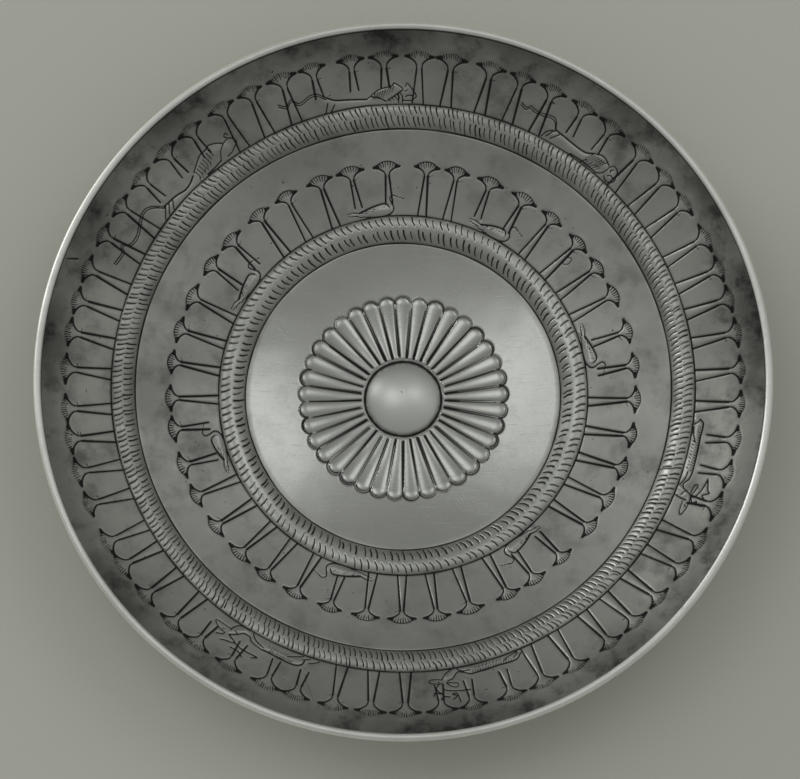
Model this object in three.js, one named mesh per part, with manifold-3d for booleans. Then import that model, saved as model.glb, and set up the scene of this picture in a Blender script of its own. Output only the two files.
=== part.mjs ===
// A shallow embossed silver bowl of the phiale kind, in millimetres, +Z up.
//
// One disc of sheet metal is raised to a wide shallow bowl. A round boss is pushed up in the middle, with
// a hollow under it that takes a fingertip. Petals lie round the boss as a rosette, and two half-round
// ribs part the floor from the wall. Each is convex inside the bowl and hollow behind, as embossed sheet
// is. A wire with a filed seat is soldered on the edge as the rim.
//
// The origin is the middle of the flat ring that the bowl stands on.

import * as THREE from 'three';
import { mergeVertices } from 'three/addons/utils/BufferGeometryUtils.js';
import Module from 'manifold-3d';

const wasm = await Module();
wasm.setup();

// Overall sizes
const rimDiameter = 140;
const bowlHeight = 22;

// Sheet
const sheetThickness = 0.7;
const footRadius = 12;
const wallCurve = 1.7;

// Rim wire
const wireDiameter = 1.5;
const seatDepth = 0.25;

// Boss
const bossRadius = 7.1;
const bossHeight = 2.6;
const bossWall = 0.5;

// Rosette
const petalCount = 37;
const petalStartRadius = 8.1;
const petalTipRadius = 20.4;
const petalRelief = 0.55;
const petalOverlap = 0.12;
const hollowStartRadius = 13;
const hollowDepth = 0.3;
const petalWall = 0.45;

// Ribs
const innerRib = { radius: 33.1, width: 5.2, relief: 1.0 };
const outerRib = { radius: 53.6, width: 4.4, relief: 0.9 };
const ribWall = 0.5;

// Fineness of the facets
const turnSegments = 60;
const fine = { sides: 8, along: 3, round: 3 };
const coarse = { sides: 6, along: 2, round: 2 };

const wireRadius = wireDiameter / 2;
const wireCentreRadius = rimDiameter / 2 - wireRadius;
const seatHeight = bowlHeight - wireDiameter + seatDepth;
const wallRise = seatHeight - sheetThickness;
const edgeSlope = Math.atan(wallCurve * wallRise / (wireCentreRadius - footRadius));
const edgeWidth = sheetThickness / Math.sin(edgeSlope);
const edgeRadius = wireCentreRadius - edgeWidth / 2;

// Height of the plain floor and wall above the flat ring: level inside the foot, then a rising curve.
function sheetRise(radius) {
  const outward = Math.max(0, radius - footRadius) / (edgeRadius - footRadius);
  return wallRise * outward ** wallCurve;
}

function sheetSlope(radius) {
  const outward = Math.max(0, radius - footRadius) / (edgeRadius - footRadius);
  return Math.atan(wallCurve * wallRise / (edgeRadius - footRadius) * outward ** (wallCurve - 1));
}

// A point of the plain sheet's inner face, and the one square below it on the outer face.
function innerFace(radius, lift = 0) {
  return new THREE.Vector2(radius, sheetThickness + sheetRise(radius) + lift);
}

function outerFace(radius, lift = 0) {
  const slope = sheetSlope(radius);
  return new THREE.Vector2(
    radius + sheetThickness * Math.sin(slope),
    sheetThickness * (1 - Math.cos(slope)) + sheetRise(radius) + lift,
  );
}

function steps(from, to, count) {
  return Array.from({ length: count + 1 }, (_, i) => from + (to - from) * i / count);
}

// Across a rib: points along its round crest, laid on one face of the sheet and drawn in by the wall there.
function ribAcross(face, rib, wall, count) {
  const halfWidth = rib.width / 2 - wall;
  const arcRadius = (halfWidth ** 2 + rib.relief ** 2) / (2 * rib.relief);
  const halfAngle = Math.asin(halfWidth / arcRadius);
  return steps(-halfAngle, halfAngle, count).map((angle) => face(
    rib.radius + arcRadius * Math.sin(angle),
    arcRadius * Math.cos(angle) - arcRadius + rib.relief,
  ));
}

// Half a dome, from the axis out to its foot.
function dome(radius, height, base, count) {
  const arcRadius = (radius ** 2 + height ** 2) / (2 * height);
  const halfAngle = 2 * Math.atan(height / radius);
  return steps(0, halfAngle, count).map((angle) => new THREE.Vector2(
    arcRadius * Math.sin(angle),
    base + height - arcRadius + arcRadius * Math.cos(angle),
  ));
}

function ribStart(rib) {
  return rib.radius - rib.width / 2;
}

function ribEnd(rib) {
  return rib.radius + rib.width / 2;
}

// Every vertex once, no flat triangles: the closed mesh that a solid is made from.
function solidFrom(geometry) {
  geometry.deleteAttribute('normal');
  geometry.deleteAttribute('uv');
  const merged = mergeVertices(geometry, 1e-5);
  const index = Array.from(merged.index.array);
  const triangles = [];
  for (let i = 0; i < index.length; i += 3) {
    const [a, b, c] = index.slice(i, i + 3);
    if (a !== b && b !== c && c !== a) triangles.push(a, b, c);
  }
  return new wasm.Manifold(new wasm.Mesh({
    numProp: 3,
    vertProperties: new Float32Array(merged.attributes.position.array),
    triVerts: new Uint32Array(triangles),
  }));
}

function geometryFrom(solid) {
  const mesh = solid.getMesh();
  const geometry = new THREE.BufferGeometry();
  geometry.setAttribute('position', new THREE.BufferAttribute(mesh.vertProperties, 3));
  geometry.setIndex(new THREE.BufferAttribute(mesh.triVerts, 1));
  return geometry;
}

// Turned round the Z axis. A lathe turns round Y, so the result is stood up.
function turned(profile) {
  return new THREE.LatheGeometry(profile, turnSegments).rotateX(Math.PI / 2);
}

function plainSheet() {
  const inside = [
    ...dome(bossRadius, bossHeight, sheetThickness, 5),
    ...[petalStartRadius, footRadius].map((radius) => innerFace(radius)),
    ...steps(footRadius, ribStart(innerRib), 4).slice(1, -1).map((radius) => innerFace(radius)),
    ...ribAcross(innerFace, innerRib, 0, 6),
    ...steps(ribEnd(innerRib), ribStart(outerRib), 4).slice(1, -1).map((radius) => innerFace(radius)),
    ...ribAcross(innerFace, outerRib, 0, 6),
    ...steps(ribEnd(outerRib), edgeRadius, 4).slice(1).map((radius) => innerFace(radius)),
  ];
  const outside = [
    ...dome(bossRadius - bossWall, bossHeight, 0, 4),
    outerFace(footRadius),
    ...steps(footRadius, ribStart(innerRib), 4).slice(1, -1).map((radius) => outerFace(radius)),
    ...ribAcross(outerFace, innerRib, ribWall, 4),
    ...steps(ribEnd(innerRib), ribStart(outerRib), 4).slice(1, -1).map((radius) => outerFace(radius)),
    ...ribAcross(outerFace, outerRib, ribWall, 4),
    ...steps(ribEnd(outerRib), edgeRadius, 4).slice(1, -1).map((radius) => outerFace(radius)),
  ];
  const edge = new THREE.Vector2(edgeRadius + edgeWidth, seatHeight);
  return turned([...outside, edge, ...inside.reverse()]);
}

// One petal: a drop turned round its own long axis, with a round outer end. It is flattened and bent to
// lie along the face of the sheet.
function petal(start, tip, narrower, relief, face, facets) {
  const share = Math.sin(Math.PI / petalCount);
  const endCentre = (tip + narrower) / (1 + share);
  const endRadius = endCentre * share - narrower;
  const halfWidth = (radius) => radius * share - narrower;
  const along = steps(start, endCentre, facets.along).map((radius) => (
    new THREE.Vector2(halfWidth(radius), radius)
  ));
  const roundEnd = steps(0, Math.PI / 2, facets.round).slice(1).map((angle) => new THREE.Vector2(
    endRadius * Math.cos(angle),
    endCentre + endRadius * Math.sin(angle),
  ));
  const drop = new THREE.LatheGeometry([new THREE.Vector2(0, start), ...along, ...roundEnd], facets.sides);
  const flatten = relief / endRadius;
  const place = drop.attributes.position;
  for (let i = 0; i < place.count; i += 1) {
    const radius = Math.hypot(place.getX(i), place.getY(i));
    place.setZ(i, place.getZ(i) * flatten + face(radius).y);
  }
  return drop;
}

function rosette(drop) {
  const first = solidFrom(drop);
  return Array.from({ length: petalCount }, (_, i) => first.rotate([0, 0, 360 * i / petalCount]));
}

function dishShell() {
  const petals = petal(petalStartRadius, petalTipRadius, -petalOverlap, petalRelief, innerFace, fine);
  const hollows = petal(
    hollowStartRadius,
    petalTipRadius - petalWall,
    petalWall,
    hollowDepth,
    outerFace,
    coarse,
  );
  let shell = solidFrom(plainSheet());
  shell = shell.add(wasm.Manifold.union(rosette(petals)));
  shell = shell.subtract(wasm.Manifold.union(rosette(hollows)));
  return geometryFrom(shell);
}

// The wire is round but for the seat filed along its lower side, where it lies on the sheet's edge.
function rimWire() {
  const seatAngle = Math.acos((wireRadius - seatDepth) / wireRadius);
  const centreHeight = seatHeight + wireRadius - seatDepth;
  const angles = [
    ...steps(seatAngle - Math.PI / 2, 0, 2),
    ...steps(0, Math.PI, 6).slice(1),
    ...steps(Math.PI, 3 * Math.PI / 2 - seatAngle, 2).slice(1),
  ];
  const section = angles.map((angle) => new THREE.Vector2(
    wireCentreRadius + wireRadius * Math.cos(angle),
    centreHeight + wireRadius * Math.sin(angle),
  ));
  return geometryFrom(solidFrom(turned([...section, section[0]])));
}

const hammeredSilver = new THREE.MeshStandardMaterial({ color: 0xb4b5ac, roughness: 0.32, metalness: 1 });
const drawnSilver = new THREE.MeshStandardMaterial({ color: 0xc6c7be, roughness: 0.24, metalness: 1 });

function piece(name, geometry, material) {
  const mesh = new THREE.Mesh(geometry, material);
  mesh.name = name;
  return mesh;
}

const bowl = new THREE.Group();
bowl.add(piece('dish_shell', dishShell(), hammeredSilver));
bowl.add(piece('rim_wire', rimWire(), drawnSilver));

export default bowl;
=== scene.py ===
# %% [markdown]
# A shallow silver libation bowl, chased and embossed all over its inside. The scene starts from the packed
# model, which gives the true size of the sheet and of the rim wire. Both are remade here as fine meshes in
# the same place, because the chasing is cut to a tenth of a millimetre and is far too fine for the model.

# %% Frame
import math

import bpy
import numpy as np
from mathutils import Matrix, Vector


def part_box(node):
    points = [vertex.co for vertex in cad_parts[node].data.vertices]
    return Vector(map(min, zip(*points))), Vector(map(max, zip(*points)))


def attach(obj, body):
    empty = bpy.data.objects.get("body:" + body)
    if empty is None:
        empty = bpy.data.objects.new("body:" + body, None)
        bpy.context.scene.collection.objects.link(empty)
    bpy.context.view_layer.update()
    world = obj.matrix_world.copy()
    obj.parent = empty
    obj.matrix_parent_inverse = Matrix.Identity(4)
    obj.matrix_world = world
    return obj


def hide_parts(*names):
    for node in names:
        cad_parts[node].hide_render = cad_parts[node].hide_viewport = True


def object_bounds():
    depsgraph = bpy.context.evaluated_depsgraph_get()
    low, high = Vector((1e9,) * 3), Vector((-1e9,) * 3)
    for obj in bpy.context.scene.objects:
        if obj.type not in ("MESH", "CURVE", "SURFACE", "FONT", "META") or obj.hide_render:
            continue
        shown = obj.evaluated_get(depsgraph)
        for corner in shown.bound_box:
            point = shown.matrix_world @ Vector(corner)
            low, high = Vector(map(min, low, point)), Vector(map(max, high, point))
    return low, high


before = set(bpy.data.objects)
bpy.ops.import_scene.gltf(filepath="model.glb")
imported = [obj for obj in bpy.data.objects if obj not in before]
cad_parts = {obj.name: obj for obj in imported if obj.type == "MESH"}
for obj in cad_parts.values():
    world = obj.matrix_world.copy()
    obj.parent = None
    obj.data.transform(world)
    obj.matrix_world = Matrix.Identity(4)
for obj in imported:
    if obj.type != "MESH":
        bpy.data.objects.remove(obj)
cad_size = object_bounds()
scene = bpy.context.scene
MM = 0.001
rng = np.random.default_rng(41)
print("nodes in the frame:", sorted(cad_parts))

# %% [markdown]
# The photograph was taken from almost straight above with a long lens. The camera therefore stands three
# quarters of a metre over the bowl, and it leans back a little towards the near edge of the picture. Its
# lens follows from how much of the picture's width the rim fills.

# %% Camera
camera_lean = math.radians(13.3)
camera_distance = 0.75
aim_point = Vector((-0.0006, 0.0, 0.0085))
rim_above_aim = 0.0125
picture_width_px = 800
rim_width_px = 740
rim_width = cad_size[1][0] - cad_size[0][0]
sensor_width_mm = 36

camera_data = bpy.data.cameras.new("camera")
camera_data.sensor_width = sensor_width_mm
seen_width = rim_width * picture_width_px / rim_width_px
rim_distance = camera_distance - rim_above_aim
camera_data.lens = sensor_width_mm * rim_distance / seen_width
camera = bpy.data.objects.new("camera", camera_data)
lean_back = Vector((0, -math.sin(camera_lean), math.cos(camera_lean)))
camera.location = aim_point + camera_distance * lean_back
camera.rotation_euler = (camera_lean, 0, 0)
scene.collection.objects.link(camera)
scene.camera = camera
scene.view_settings.view_transform = "Standard"
print("lens in mm:", round(camera_data.lens, 1))

# %% [markdown]
# Shader maths reads best as plain Python. This small class wraps a socket, and each operator adds one Math
# node, so a mask can be written as 1 - tarnish * 0.5. Every other node comes from the one method `add`.


# %% Shader maths
class Shade:
    def __init__(self, tree, socket):
        self.tree = tree
        self.socket = socket

    def add(self, kind, settings=None, output=0, **inputs):
        node = self.tree.nodes.new(kind)
        for name, value in (settings or {}).items():
            setattr(node, name, value)
        for name, value in inputs.items():
            key = int(name[1:]) if name[1:].isdigit() else name.replace("_", " ")
            if isinstance(value, Shade):
                self.tree.links.new(value.socket, node.inputs[key])
            else:
                node.inputs[key].default_value = value
        return Shade(self.tree, node.outputs[output])

    def math(self, operation, *values):
        inputs = {f"i{place}": value for place, value in enumerate(values)}
        return self.add("ShaderNodeMath", {"operation": operation}, **inputs)

    def __add__(self, other):
        return self.math("ADD", self, other)

    def __radd__(self, other):
        return self.math("ADD", other, self)

    def __sub__(self, other):
        return self.math("SUBTRACT", self, other)

    def __rsub__(self, other):
        return self.math("SUBTRACT", other, self)

    def __mul__(self, other):
        return self.math("MULTIPLY", self, other)

    def __rmul__(self, other):
        return self.math("MULTIPLY", other, self)

    def __pow__(self, other):
        return self.math("POWER", self, other)

    def most(self, other):
        return self.math("MAXIMUM", self, other)

    def least(self, other):
        return self.math("MINIMUM", self, other)

    def clamp(self):
        return self.least(1).most(0)

    def step(self, low, high):
        """0 below low, 1 above high, and a smooth rise between them."""
        settings = {"interpolation_type": "SMOOTHSTEP"}
        return self.add("ShaderNodeMapRange", settings, i0=self, i1=low, i2=high)

    def mix(self, low, high):
        """A colour between low and high, by this value as the share."""
        return self.add("ShaderNodeMix", {"data_type": "RGBA"}, output=2, i0=self, i6=low, i7=high)


def grey(value, warm=0.0):
    return (value * (1 + warm), value, value * (1 - 1.5 * warm), 1)


def material_start(name):
    """A new material with its Principled shader, and a Shade to build the rest from."""
    material = bpy.data.materials.new(name)
    material.use_nodes = True
    shader = material.node_tree.nodes["Principled BSDF"]
    return material, shader, Shade(material.node_tree, None)


def feed(shader, **values):
    for name, value in values.items():
        socket = shader.inputs[name.replace("_", " ")]
        if isinstance(value, Shade):
            value.tree.links.new(value.socket, socket)
        else:
            socket.default_value = value


# %% [markdown]
# The light is a soft studio: a dim sky with a bright patch overhead, fainter patches at the sides, and
# three lamps. Metal shows what it reflects, so two large soft lamps over the bowl give its polished floor
# the two pale patches. The third lamp stands low at the upper left. It rakes over the chasing and gives the
# bowl its shadow.

# %% Sky and lamps
sky_dim = 0.27
sky_colour = (1.0, 1.0, 0.98, 1)

# Where each bright patch of the sky lies, how tight it is and how strong
sky_lobes = {
    "overhead": ((-0.08, 0.16, 1.00), 40, 0.28),
    "left window": ((-0.36, 0.22, 0.90), 30, 0.15),
    "right window": ((0.36, 0.36, 0.85), 34, 0.15),
    "low right": ((0.85, 0.10, 0.50), 8, 0.16),
}

world = bpy.data.worlds.new("studio")
scene.world = world
world.use_nodes = True
sky = Shade(world.node_tree, None)
direction = sky.add("ShaderNodeTexCoord", output="Generated")
dot_product = {"operation": "DOT_PRODUCT"}
glow = sky_dim
for toward, tightness, strength in sky_lobes.values():
    axis = Vector(toward).normalized()
    facing = sky.add("ShaderNodeVectorMath", dot_product, output="Value", i0=direction, i1=axis)
    glow = facing.most(0) ** tightness * strength + glow
feed(world.node_tree.nodes["Background"], Color=sky_colour, Strength=glow)


def lamp(name, place, size, power):
    data = bpy.data.lights.new(name, "AREA")
    data.shape = "DISK"
    data.size = size
    data.energy = power
    thing = bpy.data.objects.new(name, data)
    thing.location = place
    thing.rotation_euler = (-Vector(place)).to_track_quat("-Z", "Y").to_euler()
    scene.collection.objects.link(thing)


lamp("left_lamp", place=(-0.42, 0.24, 0.95), size=0.58, power=0.44)
lamp("right_lamp", place=(0.43, 0.34, 0.95), size=0.46, power=0.30)
lamp("low_lamp", place=(-1.30, 0.80, 0.34), size=0.60, power=4.5)
print("sky lobes:", ", ".join(sky_lobes))

# %% [markdown]
# The bowl lies on a plain pale sheet of board. The floor is large enough to fill the picture, and it is
# matt, so that it shows the soft shadow under the rim and no reflection.

# %% Floor
floor_reach = 3.0
floor_mesh = bpy.data.meshes.new("floor")
corner_signs = ((-1, -1), (1, -1), (1, 1), (-1, 1))
floor_corners = [(x * floor_reach, y * floor_reach, 0) for x, y in corner_signs]
floor_mesh.from_pydata(floor_corners, [], [(0, 1, 2, 3)])
floor = bpy.data.objects.new("floor", floor_mesh)
scene.collection.objects.link(floor)
board, board_shader, _ = material_start("pale_board")
feed(board_shader, Base_Color=(0.80, 0.81, 0.715, 1), Roughness=0.9, Specular_IOR_Level=0.1)
floor_mesh.materials.append(board)

# %% [markdown]
# The section of the bowl follows the same few sizes as the model: a flat ring to stand on, a wall that
# rises on a curve, two half-round ribs and a domed boss. Each ring of the mesh takes its height from here.

# %% Section
# All sizes from here to the mesh are in millimetres
sheet = 0.7
foot_radius = 12
wall_curve = 1.7
wire_radius = 0.75
seat_depth = 0.25
_, wire_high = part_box("rim_wire")
wire_centre_radius = wire_high[0] / MM - wire_radius
seat_height = wire_high[2] / MM - 2 * wire_radius + seat_depth
wall_rise = seat_height - sheet
edge_slope = math.atan(wall_curve * wall_rise / (wire_centre_radius - foot_radius))
edge_width = sheet / math.sin(edge_slope)
edge_radius = wire_centre_radius - edge_width / 2

inner_rib = {"radius": 33.1, "width": 5.2, "relief": 1.0}
outer_rib = {"radius": 53.6, "width": 4.4, "relief": 0.9}
rib_wall = 0.5
boss = {"radius": 7.1, "relief": 2.6, "wall": 0.5}


def sheet_rise(radius):
    outward = np.maximum(0, radius - foot_radius) / (edge_radius - foot_radius)
    return wall_rise * outward**wall_curve


def sheet_slope(radius):
    outward = np.maximum(0, radius - foot_radius) / (edge_radius - foot_radius)
    return np.arctan(wall_curve * wall_rise / (edge_radius - foot_radius) * outward ** (wall_curve - 1))


def cap(offset, half_width, relief):
    """Height of a circular arc of that half width and relief, and 0 beside it."""
    arc = (half_width**2 + relief**2) / (2 * relief)
    return np.maximum(0, np.sqrt(np.maximum(0, arc**2 - offset**2)) - arc + relief)


def ribs(radius, wall=0.0):
    height = 0
    for rib in (inner_rib, outer_rib):
        height = height + cap(radius - rib["radius"], rib["width"] / 2 - wall, rib["relief"])
    return height


print("edge radius in mm:", round(edge_radius, 2), "seat height in mm:", round(seat_height, 2))

# %% [markdown]
# Thirty-seven petals lie round the boss. Each is a drop with a round outer end, pressed flat: the same form
# as in the model, written as a height over the sheet so that the fine mesh can follow it.

# %% Petals
petal_count = 37
petal_start = 8.1
petal_tip = 20.4
petal_relief = 0.55
petal_overlap = 0.12
petal_wall = 0.45
hollow_start = 13
hollow_depth = 0.3
petal_pitch = 360 / petal_count
petal_turn = 90
petal_share = math.sin(math.pi / petal_count)


def petals(angles, radii, narrower=-petal_overlap, tip=petal_tip, relief=petal_relief, start=petal_start):
    """Height of the rosette at angles in degrees and radii in mm."""
    end_centre = (tip + narrower) / (1 + petal_share)
    end_radius = end_centre * petal_share - narrower
    off = np.radians((angles - petal_turn + petal_pitch / 2) % petal_pitch - petal_pitch / 2)
    across = radii * np.sin(off)
    along = radii * np.cos(off)
    half_width = along * petal_share - narrower
    straight = half_width**2 - across**2
    round_end = end_radius**2 - (along - end_centre) ** 2 - across**2
    square = np.where(along < end_centre, straight, round_end)
    height = relief / end_radius * np.sqrt(np.maximum(0, square))
    return np.where(radii < start, 0, height)


# %% [markdown]
# The inside of the bowl is a polar grid. Every zone has its own spacing: fine where a frieze is chased and
# wide on plain metal. A zone keeps the depth of the cuts, the swell of raised bodies and the tarnish that
# sits in the lines, each as one number for every point of the grid.


# %% Zones
class Zone:
    """Rings of one spacing, each with the same count of points."""

    def __init__(self, start, end, spacing, count):
        self.radii = np.arange(start, end - spacing / 3, spacing)
        self.count = count
        shape = (len(self.radii), count)
        self.cut = np.zeros(shape)
        self.swell = np.zeros(shape)
        self.tarnish = np.zeros(shape)

    def window(self, path, reach):
        """Rows and columns of the grid within reach of a path, with their angles and radii."""
        low, high = path[:, 1].min() - reach, path[:, 1].max() + reach
        rows = np.nonzero((self.radii >= low) & (self.radii <= high))[0]
        if not len(rows):
            return None
        side = math.degrees(reach / max(low, 1))
        first = math.floor((path[:, 0].min() - side) / 360 * self.count)
        last = math.ceil((path[:, 0].max() + side) / 360 * self.count)
        columns = np.arange(first, last + 1)
        return rows, columns, columns * 360 / self.count, self.radii[rows]


coarse_count = 555
middle_radius = 0.6

# Where each zone ends, how far apart its rings are, and how many times finer it is than the middle
zone_plan = {
    "boss": (6.9, 0.25, 1),
    "rosette": (21.3, 0.15, 2),
    "polished floor": (30.0, 0.45, 2),
    "inner rib and frieze": (46.4, 0.17, 4),
    "plain band": (51.0, 0.45, 4),
    "outer rib and frieze": (66.0, 0.17, 4),
    "plain wall": (edge_radius, 0.28, 4),
}
zones = []
start = middle_radius
for end, spacing, finer in zone_plan.values():
    zones.append(Zone(start, end, spacing, finer * coarse_count))
    start = end
print("points on the inside:", sum(zone.cut.size for zone in zones))


# %% [markdown]
# A chaser walks a blunt punch along a drawn line. The stroke is therefore a soft furrow that starts and
# ends thin. Its profile is a bell curve of the distance to the line, pressed into the grid, and the same
# curve leaves its tarnish. A path is a row of points, each in degrees round the bowl and millimetres from
# the axis.


# %% Strokes
def smooth(points, parts=5):
    """A soft curve through a few given points."""
    points = np.asarray(points, float)
    if len(points) < 3:
        return points
    ends = np.vstack([2 * points[0] - points[1], points, 2 * points[-1] - points[-2]])
    share = np.linspace(0, 1, parts, endpoint=False)[:, None]
    bends = []
    for before, first, second, after in zip(ends, ends[1:], ends[2:], ends[3:]):
        straight = second - before
        bend = 2 * before - 5 * first + 4 * second - after
        twist = 3 * first - before - 3 * second + after
        bends.append(0.5 * (2 * first + straight * share + bend * share**2 + twist * share**3))
    return np.vstack([*bends, points[-1:]])


def nearness(path, angles, radii, width, taper):
    """1 on the path and 0 far from it, for a grid of angles and radii."""
    middle = (path[:, 0].min() + path[:, 0].max()) / 2
    across = np.radians(angles - middle)[None, :] * radii[:, None]
    up = np.broadcast_to(radii[:, None], across.shape)
    line = np.column_stack([np.radians(path[:, 0] - middle) * path[:, 1], path[:, 1]])
    best = np.full(across.shape, np.inf)
    total = len(line) - 1
    for place, (start, end) in enumerate(zip(line, line[1:])):
        step = end - start
        length = max(float(step @ step), 1e-9)
        share = np.clip(((across - start[0]) * step[0] + (up - start[1]) * step[1]) / length, 0, 1)
        gap = np.hypot(across - start[0] - share * step[0], up - start[1] - share * step[1])
        run = (place + share) / total
        local = width * (taper[0] + (taper[1] - taper[0]) * run)
        best = np.minimum(best, gap / local)
    return np.exp(-(best**2))


def touched(path, width, taper, reach):
    """Every zone that a path touches, with the grid points near it and their nearness."""
    path = np.asarray(path, float)
    for zone in zones:
        found = zone.window(path, reach * width)
        if found is not None:
            rows, columns, angles, radii = found
            yield zone, np.ix_(rows, columns % zone.count), nearness(path, angles, radii, width, taper)


def stroke(path, width=0.19, depth=0.17, tone=0.95, taper=(1.0, 0.7)):
    """Cuts one furrow along a path."""
    for zone, spot, near in touched(path, width, taper, reach=2.6):
        zone.cut[spot] = np.maximum(zone.cut[spot], depth * near)
        zone.tarnish[spot] = np.maximum(zone.tarnish[spot], tone * near)


def bulge(path, width, height, taper=(1.0, 1.0)):
    """Raises a soft ridge along a path, as a body pushed up from behind."""
    for zone, spot, near in touched(path, width, taper, reach=2.2):
        zone.swell[spot] = np.maximum(zone.swell[spot], height * near)


# %% [markdown]
# Two more helpers finish the set. A line that runs all the way round wanders a little, as a compass line
# does that is followed by hand. Figures are written in millimetres, along their ground line and over it,
# and `on_ring` turns such points into a path.


# %% Rings and figures
def ring_line(radius, width=0.16, depth=0.16, tone=0.9, wander=0.03):
    """Cuts a line all the way round, with the slight unevenness of handwork."""
    waves = rng.normal(0, wander, 9)
    phases = rng.uniform(0, 2 * math.pi, 9)
    for zone in zones:
        turn = np.arange(zone.count) * 2 * math.pi / zone.count
        drift = 0
        for order, (wave, phase) in enumerate(zip(waves, phases), start=2):
            drift = drift + wave * np.sin(order * turn + phase) / 3
        course = radius + drift
        weight = 1 + 0.18 * np.sin(7 * turn + phases[0]) * np.sin(17 * turn + phases[1])
        gap = (zone.radii[:, None] - course[None, :]) / (width * weight[None, :])
        near = np.exp(-(gap**2))
        zone.cut = np.maximum(zone.cut, depth * near)
        zone.tarnish = np.maximum(zone.tarnish, tone * near)


frieze_middle = 2.5


def on_ring(start, ground, points):
    """Turns points (mm along, mm up) over a ground circle into a path."""
    points = np.asarray(points, float)
    middle = ground + frieze_middle
    return np.column_stack([start + np.degrees(points[:, 0] / middle), ground + points[:, 1]])


# %% [markdown]
# The rosette is outlined twice. Two lines run down every valley between the petals, and two arcs close each
# round end. Nothing is quite even: the gaps, the lengths and the weight of the lines differ by a little, and
# about half of the valleys are struck dark beside the boss. The prick of the compass is left at its top.

# %% Rosette lines
arc_centre = (petal_tip - petal_overlap) / (1 + petal_share)
boss_groove_radius = 7.42
boss_edge_radius = 7.0
prick_angle = 100
prick_radius = 0.75


def valley_lines(valley):
    gap = rng.uniform(0.14, 0.30)
    weights = rng.uniform(0.09, 0.20, 2)
    for side, weight in zip((-1, 1), weights):
        inner = rng.uniform(8.15, 8.9)
        outer = rng.uniform(17.4, 19.2)
        radii = (inner, (inner + outer) / 2, outer)
        line = [(valley + side * math.degrees(gap / 2 / radius), radius) for radius in radii]
        stroke(smooth(line), weight, 0.16, rng.uniform(0.65, 1.0), (1.2, 0.55))
    if rng.random() < 0.55:
        dark_end = rng.uniform(9.4, 12.5)
        stroke([(valley, 8.2), (valley, dark_end)], rng.uniform(0.17, 0.26), 0.2, 1.0, (1.1, 0.3))


def tip_arcs(middle):
    for radius, weight, spread in ((1.74, 0.13, 82), (1.42, 0.09, 60)):
        turns = np.radians(np.linspace(90 - spread, 90 + spread, 13) + rng.normal(0, 5))
        size = radius + rng.normal(0, 0.03)
        along = middle - np.degrees(size * np.cos(turns) / arc_centre)
        arc = np.column_stack([along, arc_centre + size * np.sin(turns)])
        stroke(arc, weight * rng.uniform(0.8, 1.5), 0.12, rng.uniform(0.6, 1.0), rng.choice([0.5, 1.2], 2))


ring_line(boss_groove_radius, width=0.27, depth=0.32, tone=1.0, wander=0.03)
ring_line(boss_edge_radius, width=0.10, depth=0.05, tone=0.35, wander=0.04)
for petal in range(petal_count):
    middle = petal_turn + petal * petal_pitch
    valley_lines(middle + petal_pitch / 2 + rng.normal(0, 0.25))
    tip_arcs(middle)
stroke([(prick_angle, prick_radius), (prick_angle + 8, prick_radius + 0.05)], 0.16, 0.2, 0.8)
print("petals:", petal_count)

# %% [markdown]
# Both ribs are bounded by a line on each side and filled with two rows of short strokes, which meet near
# the crest like the twist of a cord. The strokes lean and bend a little, and no two are quite alike.


# %% Rib strokes
inner_strokes = 155
outer_strokes = 328


def rib_strokes(rib, count, lean, rows, weights):
    half = rib["width"] / 2
    ring_line(rib["radius"] - half, 0.15, 0.17, 0.95)
    ring_line(rib["radius"] + half, 0.15, 0.17, 0.95)
    for (low, high), weight in zip(rows, weights):
        turn = rng.uniform(0, 360)
        for place in range(count):
            angle = turn + (place + rng.normal(0, 0.12)) * 360 / count
            start = rib["radius"] + low + rng.normal(0, 0.12)
            end = rib["radius"] + high + rng.normal(0, 0.12)
            shift = math.degrees(lean * rng.uniform(0.7, 1.3) / rib["radius"])
            bend = 0.25 * shift
            line = [(angle - shift / 2, start), (angle + bend, (start + end) / 2), (angle + shift / 2, end)]
            heavy = weight * rng.uniform(0.75, 1.25)
            stroke(smooth(line, 4), heavy, 0.15, rng.uniform(0.75, 1.0), (0.7, 1.1))


rib_strokes(inner_rib, inner_strokes, lean=0.55, rows=((-2.0, -0.5), (0.45, 2.1)), weights=(0.19, 0.13))
rib_strokes(outer_rib, outer_strokes, lean=0.5, rows=((-1.75, -0.2), (0.15, 1.75)), weights=(0.15, 0.14))
print("rib strokes:", 2 * (inner_strokes + outer_strokes))

# %% [markdown]
# Papyrus plants stand all round both friezes. Each has a stem of two lines that narrows upwards and a fan
# for a crown: two hollow sides, a shallow arc on top, heavy corners and short rays under the arc. A plant's
# sizes are in millimetres, and its heights are measured from the ground line that it stands on.


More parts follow.
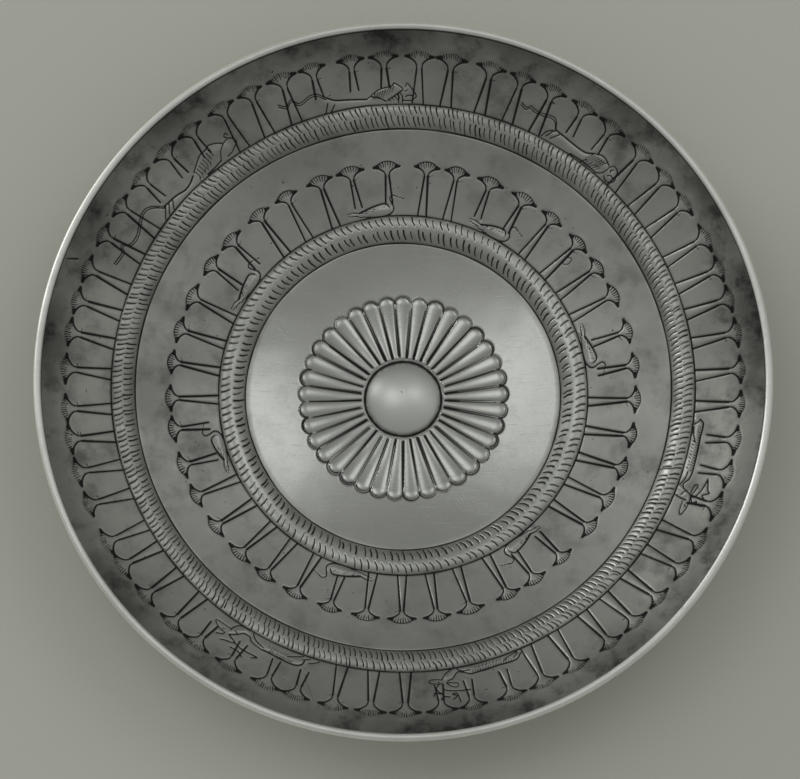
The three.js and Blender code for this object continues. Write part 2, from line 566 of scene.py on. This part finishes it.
# %% Papyrus
def papyrus(angle, ground, stand, neck, tips, top, half_crown, half_foot, half_neck, rays, arch_tone):
    """Cuts one plant, with a stem that starts at the height stand."""
    lean = rng.normal(0, 0.12)
    half_crown *= rng.uniform(0.9, 1.08)

    def put(along, up):
        return angle + math.degrees((along + lean * up / top) / (ground + up)), ground + up

    for side in (-1, 1):
        weight = rng.uniform(0.17, 0.25)
        foot = half_neck + (half_foot - half_neck) * (1 - stand / neck)
        stroke([put(side * foot, stand), put(side * half_neck, neck)], weight, 0.16, 1.0, (0.9, 1.15))
        flank = [put(side * half_neck, neck)]
        for across, up in ((0.24, 0.42), (0.58, 0.82), (0.98, 1.0)):
            flank.append(put(side * half_crown * across, neck + (tips - neck) * up))
        stroke(smooth(flank), 0.17, 0.15, 1.0, (0.8, 1.3))
        corner = [put(side * half_crown, tips + 0.05), put(side * half_crown * 0.72, tips + 0.12)]
        stroke(corner, rng.uniform(0.28, 0.42), 0.17, 1.0, (0.8, 1.1))
    arch = []
    for share in (-0.95, -0.5, 0, 0.5, 0.95):
        arch.append(put(half_crown * share, tips + (top - tips) * (1 - share**2)))
    stroke(smooth(arch), 0.13, 0.11, rng.uniform(0.75, 1.0) * arch_tone, (1.0, 1.0))
    for ray in np.linspace(-0.74, 0.74, rays):
        reach = top - 0.12 - (top - tips) * ray**2
        length = rng.uniform(0.75, 1.2) * (0.95 if abs(ray) < 0.5 else 0.75)
        inward = 1 - 0.75 * length / (reach - neck)
        line = [put(half_crown * ray, reach), put(half_crown * ray * inward, reach - length)]
        stroke(line, 0.125, 0.10, rng.uniform(0.7, 1.0), (1.2, 0.6))
    bulge([put(0, neck + 0.5), put(0, top - 0.6)], half_crown * 0.45, 0.14)
    bulge([put(0, stand + 0.1), put(0, neck)], half_foot * 0.6, 0.09, (1.1, 0.5))
    if rng.random() < 0.5:
        sepal = [put(-half_neck, neck - 0.1), put(-half_neck - 1.0, neck + 0.15)]
        stroke(sepal, 0.11, 0.1, 0.8)


# %% [markdown]
# The two friezes have plants of their own sizes, at an even pitch with a little play. An animal lies in
# front of the plants, so a stem that would cross it starts above its back. The places of the animals are
# therefore set here, in degrees round the bowl, before the animals are drawn.

# %% Both friezes
inner_ground = 35.75
outer_ground = 55.85
inner_plants = 41
outer_plants = 59
first_inner = 6.0
first_outer = 1.5
bird_starts = (4.5, 53.0, 89.5, 136.0, 188.5, 243.5, 298.5)
bird_reach = (1.0, 16.5)
bird_spans = [(start + bird_reach[0], start + bird_reach[1]) for start in bird_starts]
bird_back = 2.2
animal_spans = ((44, 60.5), (87.5, 106), (124, 144), (232.5, 252), (275, 293), (334, 352.5))
animal_back = 2.9
stem_foot = 0.1
inner_plant = {
    "neck": 7.35, "tips": 8.95, "top": 9.95,
    "half_crown": 2.5, "half_foot": 0.85, "half_neck": 0.33,
    "rays": 8, "arch_tone": 1.0,
}
outer_plant = {
    "neck": 6.15, "tips": 8.25, "top": 9.25,
    "half_crown": 2.75, "half_foot": 1.1, "half_neck": 0.5,
    "rays": 10, "arch_tone": 0.45,
}


def frieze(count, first, play, ground, spans, back, plant):
    for place in range(count):
        angle = first + place * 360 / count + rng.normal(0, play)
        behind = any(low < angle % 360 < high for low, high in spans)
        papyrus(angle, ground, back if behind else stem_foot, **plant)


frieze(inner_plants, first_inner, 0.45, inner_ground, bird_spans, bird_back, inner_plant)
frieze(outer_plants, first_outer, 0.3, outer_ground, animal_spans, animal_back, outer_plant)
bud = smooth([(40.2, 41.5), (38.8, 41.9), (38.3, 41.0), (39.1, 40.2), (40.2, 40.6)])
stroke(bud, 0.12, 0.12, 0.85)
print("plants:", inner_plants + outer_plants)

# %% [markdown]
# Seven water birds swim among the plants of the inner frieze, all the same way round. A bird is a raised
# boat-shaped body with a forked tail, a thin neck bent like an S and a long bill. Its feathers are rows of
# small nicks.

# %% Birds
bird_length = 11.4


def bird(start):
    def put(*points):
        return on_ring(start, inner_ground, points)

    stretch = rng.uniform(0.96, 1.06)
    end = bird_length * stretch
    bulge(put((3.4, 0.95), (6.0, 1.1), (end - 1.5, 0.8)), 0.85, 0.30, (1.0, 0.6))
    stroke(put((0.1, 3.0), (1.7, 3.5)), 0.09, 0.1, 0.95)
    neck = put((1.6, 3.5), (2.3, 3.7), (2.9, 3.2), (2.6, 2.3), (2.2, 1.5), (2.4, 0.7), (3.3, 0.15))
    stroke(smooth(neck), 0.13, 0.15, 1.0, (0.8, 1.2))
    stroke(smooth(put((3.3, 2.0), (3.0, 1.3), (3.2, 0.7))), 0.10, 0.1, 0.7)
    stroke(smooth(put((3.1, 1.6), (3.9, 2.3), (6.0, 2.0), (end - 2.6, 1.2))), 0.17, 0.16, 1.0, (0.7, 1.3))
    stroke(smooth(put((end - 2.6, 1.2), (end - 1.2, 1.6), (end, 1.5))), 0.12, 0.13, 0.9, (1.2, 0.5))
    stroke(smooth(put((end - 2.2, 0.7), (end - 1.0, 0.9), (end + 0.1, 1.2))), 0.12, 0.12, 0.9, (1.2, 0.5))
    stroke(smooth(put((3.3, 0.15), (5.5, 0.0), (end - 2.2, 0.45))), 0.14, 0.14, 0.9)
    for feather in np.linspace(3.9, end - 3.0, 9):
        rise = 1.75 - 0.09 * (feather - 3.9)
        tilt = rng.uniform(0.25, 0.5)
        stroke(put((feather, rise), (feather + tilt, rise - 0.4)), 0.08, 0.08, rng.uniform(0.5, 0.9))
    for quill in (0.85, 1.15):
        stroke(put((5.2, quill + 0.35), (end - 2.8, quill - 0.1)), 0.08, 0.08, 0.6, (0.6, 1.1))


for start in bird_starts:
    bird(start)
print("birds:", len(bird_starts))

# %% [markdown]
# Three lions crouch in the outer frieze with their tails along the plants behind them. Each is drawn with
# the same few parts: head, brow, a hatched mane, the line of the back, the hind legs and a long wavy tail
# of two lines. Their poses differ, so each lion has its own points, in millimetres from where it starts.


# %% Lions
tail_width = 0.42


def chase(start, lines, width):
    for line in lines:
        stroke(smooth(on_ring(start, outer_ground, line)), width, 0.15, 1.0, (0.9, 0.9))


def hatch(start, first, last, count, step, width=0.12):
    """Parallel short strokes between two points, each drawn as the same step."""
    for share in np.linspace(0, 1, count):
        foot = np.asarray(first) + (np.asarray(last) - first) * share
        tip = foot + np.asarray(step) * rng.uniform(0.85, 1.15)
        stroke(on_ring(start, outer_ground, [foot, tip]), width, 0.13, rng.uniform(0.75, 1.0), (1.1, 0.7))


def body(start, line, width, height=0.26, taper=(1.0, 0.8)):
    """Raises the flank just under a back line, and keeps it over the ground line."""
    flank = np.asarray(line, float) - (0, 0.8)
    flank[:, 1] = np.maximum(flank[:, 1], 0.5)
    bulge(smooth(on_ring(start, outer_ground, flank)), width, height, taper)


def lion(start, head, mane, hatching, back, legs, tail):
    body(start, [head[0][0], *mane[0][1:], *back], 0.9)
    chase(start, head, 0.13)
    chase(start, mane, 0.15)
    for first, last, count, step in hatching:
        hatch(start, first, last, count, step)
    chase(start, [back], 0.20)
    chase(start, legs, 0.15)
    chase(start, [tail, np.asarray(tail) - (0, tail_width)], 0.12)


lion(
    42,
    head=[
        [(2.7, 1.9), (2.4, 1.2), (2.9, 0.5), (4.0, 0.3), (4.8, 0.7)],
        [(2.7, 1.9), (3.2, 2.8), (4.2, 3.2), (4.8, 2.7), (5.0, 1.8)],
        [(3.0, 1.4), (3.7, 1.5), (4.2, 1.1)],
        [(4.0, 2.6), (4.4, 2.2), (4.1, 1.9)],
    ],
    mane=[
        [(5.2, 2.6), (6.3, 3.1), (7.6, 3.2), (9.0, 2.6)],
        [(5.0, 1.8), (5.4, 0.9), (6.4, 0.2)],
    ],
    hatching=[((5.9, 2.7), (9.0, 2.3), 7, (0.9, -1.4)), ((6.3, 1.3), (9.6, 0.9), 6, (0.7, -0.8))],
    back=[(9.0, 2.6), (10.4, 1.9), (12.6, 1.8), (16.4, 2.2), (17.7, 2.4)],
    legs=[
        [(16.7, 1.9), (18.0, 0.6)],
        [(17.9, 2.2), (19.0, 0.6)],
        [(18.3, 2.1), (19.3, 1.3), (19.8, 0.3)],
        [(6.4, 0.2), (9.5, 0.3), (13.0, 0.15)],
    ],
    tail=[
        (17.7, 2.4), (18.6, 3.9), (19.8, 4.2), (21.2, 3.9),
        (22.9, 3.9), (24.0, 4.2), (24.8, 3.7), (25.9, 4.2),
    ],
)
lion(
    85,
    head=[
        [(4.7, 2.9), (4.3, 3.6), (3.8, 3.1), (3.0, 2.2), (2.5, 1.3), (3.5, 0.6), (5.2, 0.6)],
        [(3.0, 1.4), (4.0, 1.5), (4.6, 1.2)],
        [(4.2, 2.4), (4.7, 2.1)],
    ],
    mane=[
        [(5.2, 2.7), (6.8, 3.6), (7.3, 3.1), (9.8, 2.6), (12.3, 1.1)],
        [(5.1, 2.4), (6.5, 1.6), (8.2, 0.6)],
        [(8.5, 0.5), (10.0, 1.2), (11.4, 1.4)],
    ],
    hatching=[((6.9, 2.9), (10.6, 1.9), 8, (0.5, -1.1)), ((5.7, 1.9), (7.9, 0.9), 5, (-0.5, -0.6))],
    back=[(12.3, 1.1), (15.8, 1.5), (18.6, 1.9), (20.2, 2.7)],
    legs=[
        [(5.2, 1.3), (5.2, 0.3)],
        [(6.0, 1.6), (6.0, 0.3)],
        [(18.8, 1.1), (19.8, 0.1)],
        [(20.1, 1.6), (20.9, 0.1)],
    ],
    tail=[(20.2, 2.7), (22.4, 3.9), (25.4, 3.1), (26.7, 4.2), (28.0, 3.4), (29.4, 4.2)],
)
lion(
    122,
    head=[
        [(4.4, 2.9), (3.0, 3.2), (2.1, 2.4), (2.1, 1.7), (2.8, 1.4), (3.8, 0.8), (5.0, 0.6)],
        [(2.8, 3.7), (3.1, 4.2), (3.6, 3.8), (3.2, 3.4)],
        [(4.4, 2.9), (5.6, 3.7), (7.0, 4.2)],
        [(4.5, 2.8), (5.7, 2.0), (6.6, 0.7)],
    ],
    mane=[[(7.0, 4.2), (8.1, 3.8), (9.5, 3.7), (12.5, 2.1)], [(6.6, 0.7), (8.5, 0.4), (10.5, 0.3)]],
    hatching=[((7.6, 3.5), (12.2, 1.9), 8, (-0.3, -1.5)), ((8.6, 1.6), (12.0, 0.9), 5, (0.5, -0.7))],
    back=[(13.0, 1.8), (14.4, 1.2), (16.1, 1.0), (18.1, 1.5), (21.4, 1.9)],
    legs=[
        [(21.0, 1.8), (23.1, 0.3)],
        [(20.2, 1.6), (21.8, 0.3)],
        [(19.3, 1.4), (20.4, 0.3)],
    ],
    tail=[
        (21.4, 1.9), (23.1, 3.8), (24.8, 4.4), (26.8, 3.8), (29.1, 3.0),
        (31.2, 3.2), (32.3, 4.5), (33.6, 3.8), (36.1, 4.2),
    ],
)

# %% [markdown]
# Three stags rest between the plants on the other side, their legs folded under them. The antlers are the
# showpiece: a long beam laid back over the shoulder, with forked tines that reach up between the crowns.


# %% Stags
def stag(start, head, antlers, neck, back, legs, dashes):
    body(start, [neck[1][-1], *back], 0.95)
    body(start, neck[1][:3], 0.6, 0.25)
    chase(start, head, 0.12)
    chase(start, antlers, 0.15)
    chase(start, neck, 0.15)
    chase(start, [back], 0.19)
    chase(start, legs, 0.14)
    for first, last, count, step in dashes:
        hatch(start, first, last, count, step, 0.10)


stag(
    230,
    head=[
        [(5.1, 3.0), (3.8, 2.8), (2.7, 2.2), (2.9, 1.8), (5.9, 1.7)],
        [(6.8, 1.6), (7.7, 2.0)],
        [(4.6, 2.6), (4.9, 2.4)],
    ],
    antlers=[
        [(4.2, 4.1), (5.3, 3.5), (5.4, 3.0)],
        [(5.5, 4.7), (6.4, 4.3), (8.1, 3.7), (6.2, 2.9)],
        [(7.9, 4.9), (9.6, 4.9), (10.6, 5.5)],
        [(8.1, 3.7), (9.8, 4.1), (13.0, 4.1), (12.1, 4.7)],
    ],
    neck=[
        [(6.0, 2.0), (6.2, 1.0), (7.2, 0.1), (9.1, 0.0)],
        [(6.4, 2.9), (7.6, 2.0), (8.5, 1.2), (9.8, 1.1), (10.6, 1.8), (13.0, 2.3)],
    ],
    back=[(13.0, 2.3), (14.2, 2.2), (19.3, 2.5), (21.0, 2.0), (21.4, 1.0)],
    legs=[
        [(13.2, 1.8), (11.3, 1.2), (10.4, 0.6), (10.0, 0.05)],
        [(22.3, 1.2), (23.3, 0.8), (24.2, 0.2)],
        [(20.9, 0.9), (22.3, 0.3)],
        [(18.0, 1.4), (19.6, 0.7), (21.0, 0.2)],
    ],
    dashes=[((14.4, 2.0), (19.0, 2.2), 13, (0.25, -0.5)), ((13.9, 1.2), (17.6, 1.2), 7, (0.3, -0.4))],
)
stag(
    273,
    head=[
        [(4.3, 2.8), (3.0, 2.7), (2.0, 2.4), (2.0, 1.9), (3.2, 1.8), (4.3, 2.0)],
        [(5.0, 2.7), (6.0, 3.6), (7.0, 3.8), (7.2, 3.1), (5.8, 2.8), (5.0, 2.7)],
        [(3.5, 2.5), (3.8, 2.4)],
    ],
    antlers=[
        [(2.6, 5.2), (2.7, 4.6), (4.0, 4.9), (3.4, 4.4), (3.1, 3.6), (3.7, 2.8)],
        [(3.7, 6.0), (4.3, 5.5), (5.3, 5.7)],
        [(4.3, 3.5), (4.6, 4.1), (6.4, 4.6), (9.2, 4.9)],
        [(5.8, 6.3), (6.6, 5.7), (5.8, 5.2), (6.7, 5.2), (7.0, 7.0)],
    ],
    neck=[
        [(4.3, 2.0), (5.2, 0.8), (6.7, 0.0)],
        [(5.3, 2.4), (6.4, 2.0), (7.2, 1.1), (7.9, 0.9), (9.9, 1.8)],
    ],
    back=[(9.9, 1.8), (12.5, 1.7), (15.3, 1.6), (18.9, 1.7), (20.3, 0.8)],
    legs=[
        [(7.5, 0.3), (8.6, 0.9), (9.9, 0.9)],
        [(16.6, 1.1), (17.6, 0.6), (19.7, 0.3)],
        [(18.6, 1.2), (19.9, 0.5)],
    ],
    dashes=[((10.3, 1.5), (18.0, 1.4), 16, (0.25, -0.45)), ((11.0, 0.8), (16.0, 0.7), 8, (0.3, -0.35))],
)
stag(
    331,
    head=[
        [(6.7, 3.0), (5.3, 3.2), (3.6, 3.0), (2.8, 2.6), (3.6, 2.1), (5.5, 2.0)],
        [(7.2, 3.1), (8.2, 3.5), (9.2, 3.6), (9.0, 3.0), (7.4, 2.8)],
        [(4.6, 2.8), (4.9, 2.6)],
    ],
    antlers=[
        [(5.5, 5.7), (5.6, 4.7), (6.1, 4.4), (5.6, 3.8), (6.7, 3.0)],
        [(7.0, 5.5), (7.5, 5.0), (8.2, 6.1), (8.6, 5.7), (10.7, 5.0)],
        [(6.7, 3.0), (6.9, 3.8), (8.6, 4.6), (10.7, 5.0)],
    ],
    neck=[
        [(5.8, 2.5), (6.0, 1.3), (6.3, 0.3)],
        [(7.0, 2.8), (7.6, 2.0), (7.9, 1.3), (8.9, 0.9), (9.9, 1.6), (11.0, 1.8)],
    ],
    back=[(11.0, 1.8), (14.5, 1.75), (18.3, 1.7), (21.1, 1.9), (22.1, 1.3)],
    legs=[
        [(6.6, 1.2), (7.5, 1.7)],
        [(21.1, 0.2), (21.5, 0.9), (22.0, 1.1)],
        [(8.6, 0.3), (10.0, 0.9), (11.4, 1.0)],
        [(17.5, 0.9), (19.0, 0.4), (20.6, 0.2)],
    ],
    dashes=[((11.6, 1.5), (20.4, 1.5), 18, (0.25, -0.4)), ((12.0, 0.8), (17.5, 0.7), 9, (0.3, -0.35))],
)
print("grid points in a cut:", sum(np.count_nonzero(zone.cut > 0.05) for zone in zones))

# %% [markdown]
# Old silver has been knocked and scratched. A gouge cuts the wall, a longer scratch crosses the outer
# frieze, and fine scratches run anywhere. Specks of dark corrosion are strewn over the friezes, the plain
# band and the wall, but not over the polished floor.

# %% Scars
scratch_count = 26
speck_count = 210
stroke([(159.6, 66.3), (160.4, 68.1)], 0.20, 0.14, 0.9)
stroke(smooth([(252.0, 59.5), (253.4, 61.7), (254.9, 64.0)]), 0.08, 0.07, 0.7)
for scratch in range(scratch_count):
    angle = rng.uniform(0, 360)
    radius = rng.uniform(22, 67)
    length = rng.uniform(0.8, 4.5)
    heading = rng.uniform(0, math.pi)
    ends = [(angle, radius)]
    tip_radius = min(radius + length * math.sin(heading), edge_radius - 0.6)
    ends.append((angle + math.degrees(length * math.cos(heading) / radius), tip_radius))
    stroke(ends, 0.06, 0.03, rng.uniform(0.2, 0.5), (0.6, 1.0))
for speck in range(speck_count):
    angle = rng.uniform(0, 360)
    radius = rng.choice([rng.uniform(36, 50), rng.uniform(57, 68)])
    size = rng.uniform(0.06, 0.16)
    spot = [(angle, radius), (angle + rng.uniform(0.05, 0.3), radius + rng.uniform(-0.1, 0.1))]
    stroke(spot, size, 0.04, rng.uniform(0.35, 0.9), (1, 1))
print("scratches and specks:", scratch_count + speck_count)

# %% [markdown]
# Hammered sheet is never quite smooth: planishing leaves a waviness of a few hundredths of a millimetre.
# The floor is rubbed bright and smooth by use. The crests of the ribs are rubbed smooth and painted
# lighter, a painted sheen beside their wear, while the wall stays dull and is painted darker, a painted
# shade. Both depend only on the place in the bowl, so each is one function.

# %% Surface
planish_depth = 0.012
# The shine falls off towards the rim, so the wall takes the dull colour, a painted shade
shine_radii = (0, 29.5, 30.5, 51, 56, 64, 69)
shine_there = (1, 1, 0.5, 0.42, 0.24, 0.08, 0.0)

# Each rib's crest, rubbed smooth and given a painted sheen: its radius, half its width and its shine
worn_and_sheen_crests = ((33.6, 2.0, 0.9), (53.8, 1.8, 0.75))


def uneven(angles, radii):
    """The slight waviness that planishing leaves."""
    turn = np.radians(angles)
    wave = np.sin(11 * turn + 0.21 * radii) * np.sin(0.55 * radii + 1.7)
    wave = wave + 0.7 * np.sin(23 * turn - 0.4 * radii + 2) + 0.6 * np.sin(5 * turn + 0.33 * radii)
    return planish_depth * wave * np.clip((radii - 20) / 8, 0, 1) * np.clip((edge_radius - radii) / 1.5, 0, 1)


def polish_and_sheen_at(radii):
    """How bright the metal is rubbed by its place in the bowl, with painted sheen on ribs and painted shade
    at the wall.
    """
    wear_and_sheen = np.interp(radii, shine_radii, shine_there)
    for crest, half_width, shine in worn_and_sheen_crests:
        wear_and_sheen = np.maximum(wear_and_sheen, shine * np.exp(-(((radii - crest) / half_width) ** 4)))
    return wear_and_sheen


# %% [markdown]
# Now the sheet is laid out as rings of points, from the middle of the inside to the edge and back along the
# outer face. The outer face is what a bowl worked from behind shows, with the boss, the ribs and the petals
# as hollows. Beside its place, every point keeps how tarnished and how polished it is, and the polished
# value also carries the painted sheen and the painted shade.

# %% Rings of the sheet
outside_spacing = 0.55
edge_gap = 0.5
middle_gap = 0.9
rings = []
marks = []


def ring_angles(count):
    return np.arange(count) * 360 / count


def ring_points(angles, radii, heights):
    turn = np.radians(angles)
    return np.column_stack([radii * np.cos(turn), radii * np.sin(turn), heights])


def add_ring(points, tarnish, polish_and_sheen):
    rings.append(points)
    columns = [np.broadcast_to(value, len(points)) for value in (tarnish, polish_and_sheen)]
    marks.append(np.column_stack(columns))


add_ring(np.array([[0, 0, sheet + boss["relief"]]]), tarnish=0.0, polish_and_sheen=1.0)
for zone in zones:
    angles = ring_angles(zone.count)
    for row, radius in enumerate(zone.radii):
        height = sheet + sheet_rise(radius) + ribs(radius) + cap(radius, boss["radius"], boss["relief"])
        height = height + petals(angles, radius) + uneven(angles, radius)
        height = height + zone.swell[row] - zone.cut[row]
        # Raised bodies shine more, a painted highlight that lightens their colour
        shine = np.clip(polish_and_sheen_at(radius) + 1.2 * zone.swell[row], 0, 1)
        add_ring(ring_points(angles, radius, height), zone.tarnish[row], shine)
angles = ring_angles(coarse_count)
for radius in (edge_radius, edge_radius + edge_width):
    add_ring(ring_points(angles, radius, np.full(coarse_count, seat_height)), tarnish=0.5, polish_and_sheen=0.2)
for radius in np.arange(edge_radius - edge_gap, middle_gap, -outside_spacing):
    slope = sheet_slope(radius)
    height = sheet * (1 - np.cos(slope)) + sheet_rise(radius) + ribs(radius, rib_wall)
    height = height + cap(radius, boss["radius"] - boss["wall"], boss["relief"])
    hollows = petals(angles, radius, petal_wall, petal_tip - petal_wall, hollow_depth, hollow_start)
    height = np.maximum(height + hollows + uneven(angles, radius), 0)
    add_ring(ring_points(angles, radius + sheet * np.sin(slope), height), tarnish=0.12, polish_and_sheen=0.35)
add_ring(np.array([[0, 0, boss["relief"]]]), tarnish=0.1, polish_and_sheen=0.4)
print("rings of the sheet:", len(rings))

# %% [markdown]
# The rings are then skinned to one closed body. Rings with the same number of points are joined by
# quadrangles, and others by fans of triangles. The mesh is handed over in a few long arrays, because adding
# its hundreds of thousands of faces one at a time would be slow.


# %% Sheet
def joined(first, first_count, second, second_count):
    """Faces between two rings whose counts are equal or divide each other."""
    if first_count == second_count:
        place = np.arange(first_count)
        after = (place + 1) % first_count
        return [np.column_stack([first + place, second + place, second + after, first + after])]
    wide, many = min(first_count, second_count), max(first_count, second_count)
    times = many // wide
    fine_place = np.arange(many)
    fine_after = (fine_place + 1) % many
    hub = (fine_place // times + (fine_place % times >= times // 2)) % wide
    place = np.arange(wide)
    half = place * times + times // 2
    if second_count > first_count:
        fans = np.column_stack([first + hub, second + fine_place, second + fine_after])
        links = np.column_stack([first + place, second + half, first + (place + 1) % wide])
    else:
        fans = np.column_stack([first + fine_place, second + hub, first + fine_after])
        links = np.column_stack([first + half, second + place, second + (place + 1) % wide])
    return [fans, links] if wide > 1 else [fans]


def solid_from(name, ring_list, mark_list, closed=False):
    starts = np.cumsum([0] + [len(ring) for ring in ring_list])
    pairs = list(zip(range(len(ring_list)), range(1, len(ring_list))))
    if closed:
        pairs.append((len(ring_list) - 1, 0))
    faces = []
    for first, second in pairs:
        faces += joined(starts[first], len(ring_list[first]), starts[second], len(ring_list[second]))
    mesh = bpy.data.meshes.new(name)
    points = np.vstack(ring_list) * MM
    mesh.vertices.add(len(points))
    mesh.vertices.foreach_set("co", points.ravel())
    corners = np.concatenate([face.ravel() for face in faces])
    sizes = np.concatenate([np.full(len(face), face.shape[1]) for face in faces])
    mesh.loops.add(len(corners))
    mesh.loops.foreach_set("vertex_index", corners.astype(np.int32))
    mesh.polygons.add(len(sizes))
    mesh.polygons.foreach_set("loop_start", np.concatenate([[0], np.cumsum(sizes)[:-1]]).astype(np.int32))
    mesh.update(calc_edges=True)
    mesh.validate()
    mesh.shade_smooth()
    values = np.vstack(mark_list)
    for column, label in enumerate(("tarnish", "polish_and_sheen")):
        layer = mesh.attributes.new(label, "FLOAT", "POINT")
        layer.data.foreach_set("value", values[:, column].astype(np.float32))
    thing = bpy.data.objects.new(name, mesh)
    scene.collection.objects.link(thing)
    print(name, "faces:", len(mesh.polygons))
    return thing


dish_body = solid_from("dish_body", rings, marks)

# %% [markdown]
# The rim is a round wire soldered to the edge. Its bead is smooth, but it was filed and burnished by hand,
# so its thickness wavers slightly and a few knocks have left small nicks.

# %% Rim bead
bead_round = 28
bead_along = 2 * coarse_count
bead_waver = 0.018
seat_gap = 0.004
nick_width = 0.55

# Where round the rim each nick lies, in degrees, and the share of the wire's thickness that it takes
nicks = {5.5: 0.05, 338.0: 0.07, 319.5: 0.05, 304.0: 0.06, 94.5: 0.06, 205.0: 0.05}

bead_angles = ring_angles(bead_along)
bead_turn = np.radians(bead_angles)
thickness = 1 - bead_waver * (1 + np.sin(9 * bead_turn + 1) * np.sin(4 * bead_turn))
for angle, loss in nicks.items():
    off = (bead_angles - angle + 180) % 360 - 180
    thickness = thickness - loss * np.exp(-((off / nick_width) ** 2))
bead_rings = []
bead_marks = []
for place in range(bead_round):
    section = 2 * math.pi * place / bead_round
    outward = wire_centre_radius + wire_radius * thickness * math.cos(section)
    upward = seat_height + wire_radius - seat_depth + wire_radius * thickness * math.sin(section)
    bead_rings.append(ring_points(bead_angles, outward, np.maximum(upward, seat_height + seat_gap)))
    seat_tarnish = max(0.0, -math.sin(section) - 0.45) * 1.3
    corner_tarnish = max(0.0, -math.cos(section) - 0.84) * 4.5
    tarnish = min(1.0, seat_tarnish + corner_tarnish)
    bead_marks.append(np.column_stack([np.full(bead_along, tarnish), np.full(bead_along, 1.0)]))
bead_rings.reverse()
bead_marks.reverse()
rim_bead = solid_from("rim_bead", bead_rings, bead_marks, closed=True)

# %% [markdown]
# Silver is grey by what it reflects. The finish therefore lives in the roughness: burnished metal is
# smooth and bright, worked metal is duller, and tarnish turns the lines nearly black and stops them from
# shining. Clouds of thin tarnish, fine scratches and a little pitting break up each surface. Towards the
# rim the colour darkens to the grey of the thin tarnish, and that is painted shade. The boss is painted the
# whitest, a painted sheen on its polished metal.


# %% Silver
film_and_shade_grey = grey(0.10, 0.02)
line_black = grey(0.012, 0.05)
# Near white for the boss: polished metal with a painted sheen
boss_white_and_sheen = (0.86, 0.88, 0.84, 1)
boss_edge = (0.0066, 0.0072)
# Radii where the painted shade near the rim comes in
rim_shade_radii = (0.0600, 0.0680)


def silver(name, bright, dull, gloss, matt):
    material, shader, shade = material_start(name)
    tarnish = shade.add("ShaderNodeAttribute", {"attribute_name": "tarnish"}, output="Fac")
    polish_and_sheen = shade.add("ShaderNodeAttribute", {"attribute_name": "polish_and_sheen"}, output="Fac")
    place = shade.add("ShaderNodeTexCoord", output="Object")
    level = shade.add("ShaderNodeVectorMath", {"operation": "MULTIPLY"}, i0=place, i1=(1, 1, 0))
    from_axis = shade.add("ShaderNodeVectorMath", {"operation": "LENGTH"}, output="Value", i0=level)

    def noise(scale, detail, rough):
        return shade.add("ShaderNodeTexNoise", Vector=place, Scale=scale, Detail=detail, Roughness=rough)

    clouds = noise(55, 4, 0.55)
    blotches = noise(160, 5, 0.65)
    grain = noise(1400, 3, 0.7)
    pits = shade.add("ShaderNodeTexVoronoi", output="Distance", Vector=place, Scale=420.0, Randomness=1.0)
    stretched = shade.add("ShaderNodeMapping", i0=place, Rotation=(0, 0, 0.7), Scale=(160.0, 3200.0, 400.0))
    scratches = shade.add("ShaderNodeTexNoise", Vector=stretched, Scale=1.0, Detail=2.0)

    # Where the surface has thin tarnish, painted shade near the rim, chasing, and the boss
    film_and_rim_shade = (clouds.step(0.38, 0.68) * 0.30 + blotches.step(0.46, 0.72) * 0.32) * (1.25 - polish_and_sheen)
    # Painted shade: the grey of the thin tarnish spreads over the wall towards the rim
    film_and_rim_shade = film_and_rim_shade + from_axis.step(*rim_shade_radii) * (1 - polish_and_sheen) * 0.42
    lines = tarnish.step(0.18, 0.72)
    on_boss = (1 - from_axis.step(*boss_edge)) * polish_and_sheen.step(0.6, 0.9)

    # The bright colour on the rib crests is partly a painted sheen, the dull one on the wall a painted shade
    filmed_and_shaded = film_and_rim_shade.mix(polish_and_sheen.mix(dull, bright), film_and_shade_grey)
    # The boss's near white is a painted sheen on polished metal
    colour = (on_boss * (1 - lines)).mix(lines.mix(filmed_and_shaded, line_black), boss_white_and_sheen)
    rough = matt + (gloss - matt) * polish_and_sheen**4 + film_and_rim_shade * 0.5 + (grain - 0.5) * 0.10
    rough = rough + scratches.step(0.60, 0.75) * 0.08 + lines * 0.3 + on_boss * 0.20
    relief = grain * 0.25 + blotches * 0.5 + scratches.step(0.58, 0.75) * 0.12 + pits.step(0.0, 0.12) * 0.25
    bump = shade.add("ShaderNodeBump", Strength=0.22, Distance=0.00008, Height=relief)
    feed(shader, Base_Color=colour, Metallic=1 - lines * 0.75, Roughness=rough.clamp(), Normal=bump)
    return material


def dress(piece, material, node):
    piece.data.materials.append(material)
    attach(piece, "root")
    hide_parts(node)


hammered = silver(
    "hammered_silver",
    bright=(0.59, 0.605, 0.57, 1),
    dull=(0.41, 0.415, 0.375, 1),
    gloss=0.22,
    matt=0.40,
)
drawn = silver(
    "drawn_silver",
    bright=(0.97, 0.98, 0.93, 1),
    dull=(0.6, 0.6, 0.56, 1),
    gloss=0.46,
    matt=0.5,
)
dress(dish_body, hammered, "dish_shell")
dress(rim_bead, drawn, "rim_wire")
